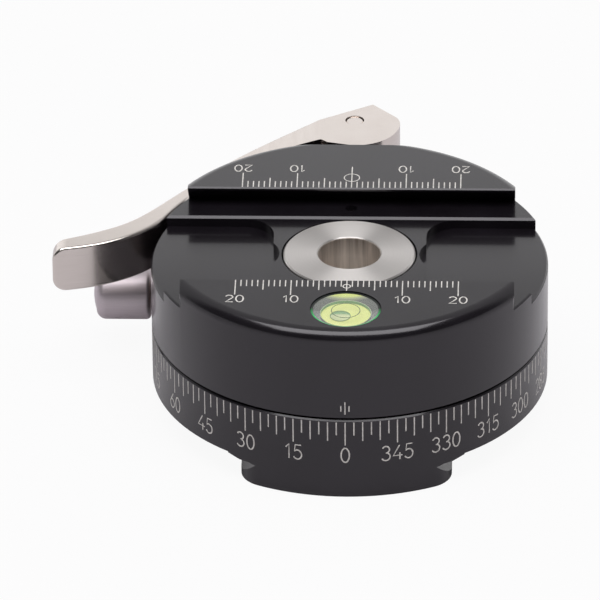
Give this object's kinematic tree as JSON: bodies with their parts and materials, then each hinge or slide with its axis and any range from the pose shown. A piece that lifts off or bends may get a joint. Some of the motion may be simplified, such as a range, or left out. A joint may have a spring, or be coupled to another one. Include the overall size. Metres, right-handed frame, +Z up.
{
  "type": "panning quick-release clamp",
  "caption": "Round panning clamp for a tripod head: dovetail plate channel with a cam-lever jaw, bubble level, degree scale, pan-lock knob and dovetail foot.",
  "frame": {"origin": "mouth of the tripod thread, in the flat underside of the foot, on the pan axis", "axes": "+Z up along the pan axis, -Y towards the fixed jaw and the zero mark, +X to the right along the plate channel, the lever's grip at -X"},
  "size_m": [0.0903, 0.086, 0.0338],
  "materials": {
    "black_anodised": "fine bead-blasted black anodised aluminium",
    "turned_stainless": "face-turned stainless steel",
    "brushed_stainless": "satin brushed stainless steel",
    "knob_stainless": "smooth turned stainless steel",
    "stainless": "machined stainless steel",
    "screw_steel": "black oxide steel",
    "spring_steel": "drawn spring wire",
    "bronze": "machined bearing bronze",
    "acetal": "white acetal",
    "white_plastic": "white moulded plastic",
    "clear_acrylic": "clear polished acrylic",
    "level_fluid": "yellow-green spirit level fluid"
  },
  "bodies": {
    "base": {"base_plate": "black_anodised", "thread_insert": "stainless", "spindle": "turned_stainless", "spindle_screws": "screw_steel", "lower_thrust_washer": "acetal", "lock_cotter_outer": "bronze"},
    "knob": {"pan_lock_knob": "knob_stainless", "pan_lock_screw": "screw_steel", "knob_pin": "screw_steel"},
    "cotter": {"lock_cotter_inner": "bronze"},
    "head": {"clamp_body": "black_anodised", "pan_hub": "stainless", "hub_screws": "screw_steel", "pan_bushing": "bronze", "upper_thrust_washer": "acetal", "level_housing": "clear_acrylic", "level_liquid": "level_fluid", "level_plug": "white_plastic", "drawbar": "stainless", "drawbar_lock_screw": "screw_steel", "pivot_pin": "stainless", "jaw_guide_pins": "stainless", "jaw_springs": "spring_steel"},
    "jaw": {"moving_jaw": "black_anodised", "jaw_wear_plate": "stainless", "wear_plate_screws": "screw_steel"},
    "lever": {"lever": "brushed_stainless", "lever_bushings": "bronze"}
  },
  "joints": [
    {"name": "pan", "type": "hinge", "parent": "base", "child": "head", "pos_m": [0, 0, 0.016], "axis": [0, 0, 1], "continuous": true},
    {"name": "lever_release", "type": "hinge", "parent": "head", "child": "lever", "pos_m": [0, 0.0435, 0.024], "axis": [0, 0, -1], "range_deg": [0, 120]},
    {"name": "jaw_slide", "type": "slide", "parent": "head", "child": "jaw", "axis": [0, 1, 0], "range_m": [0, 0.0021], "deforming": ["jaw_springs"]},
    {"name": "pan_lock_turn", "type": "hinge", "parent": "base", "child": "knob", "pos_m": [-0.036, 0.0183, 0.0106], "axis": [-1, 0, 0], "range_deg": [0, 275]},
    {"name": "cotter_slide", "type": "slide", "parent": "base", "child": "cotter", "axis": [1, 0, 0], "range_m": [0, 0.0006]}
  ],
  "couplings": [
    {"joint": "jaw_slide", "follows": "lever_release", "m_per_rad": 0.00095493},
    {"joint": "pan_lock_turn", "follows": "cotter_slide", "rad_per_m": 7854}
  ]
}
